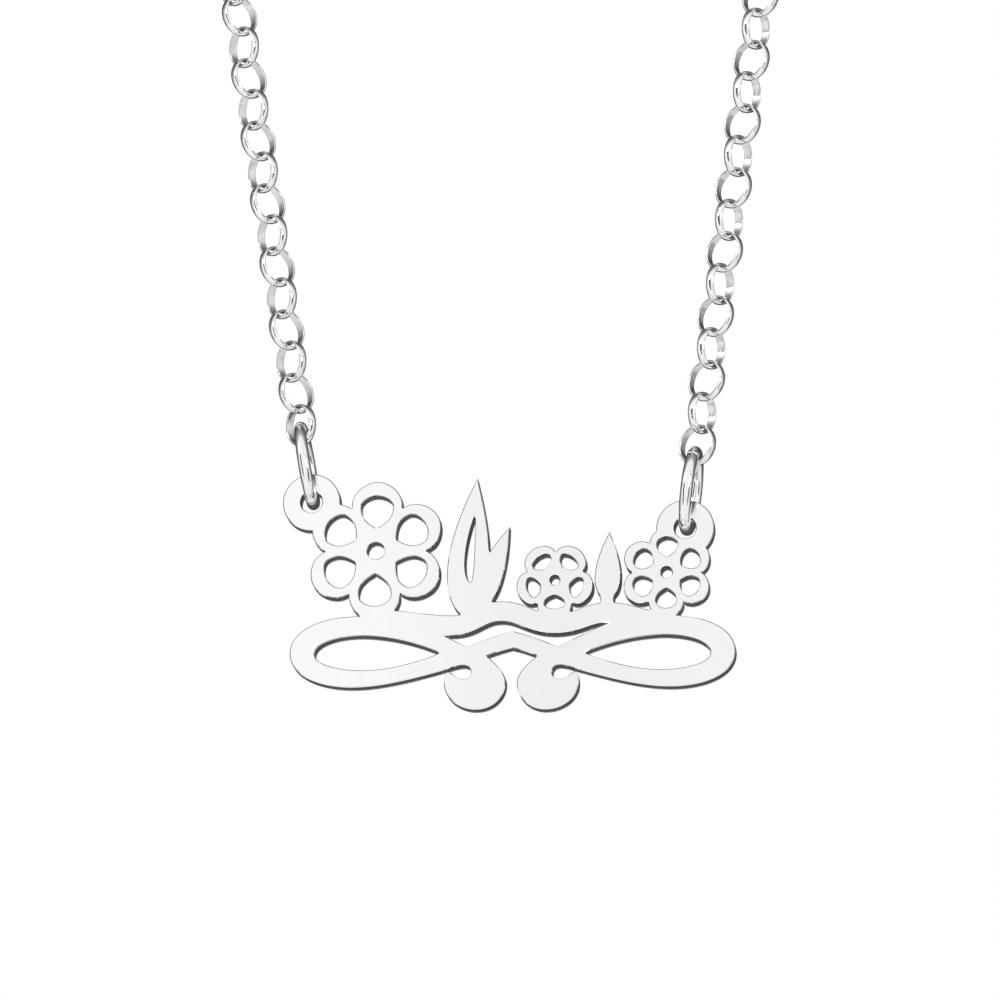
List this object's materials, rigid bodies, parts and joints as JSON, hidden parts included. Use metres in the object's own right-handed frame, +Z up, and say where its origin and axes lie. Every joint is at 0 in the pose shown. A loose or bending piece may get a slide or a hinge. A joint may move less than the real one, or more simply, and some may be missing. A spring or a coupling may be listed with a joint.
{
  "type": "nameplate necklace",
  "caption": "Necklace: a flat pierced plate with flowers, leaves and two long loops hangs by two jump rings from a round-link chain that closes at the nape.",
  "frame": {"origin": "middle of the clasp ring at the nape, where the necklace rests on the back of the neck", "axes": "+Z up, -Y towards the front where the plate hangs, +X towards the viewer's right seen from the front"},
  "size_m": [0.1073, 0.0996, 0.1224],
  "materials": {
    "plate_silver": "polished silver",
    "ring_silver": "polished silver wire",
    "chain_silver": "polished silver links",
    "clasp_silver": "polished silver"
  },
  "bodies": {
    "necklace": {"chain_left": "chain_silver", "chain_right": "chain_silver", "jump_ring_left": "ring_silver", "jump_ring_right": "ring_silver", "clasp": "clasp_silver", "end_ring": "ring_silver"},
    "plate": {"nameplate": "plate_silver"}
  },
  "joints": [
    {"name": "plate_swing", "type": "hinge", "parent": "necklace", "child": "plate", "pos_m": [-0.01724, -0.094, -0.09877], "axis": [0.9973, 0, -0.0735], "range_deg": [-30, 30]}
  ]
}
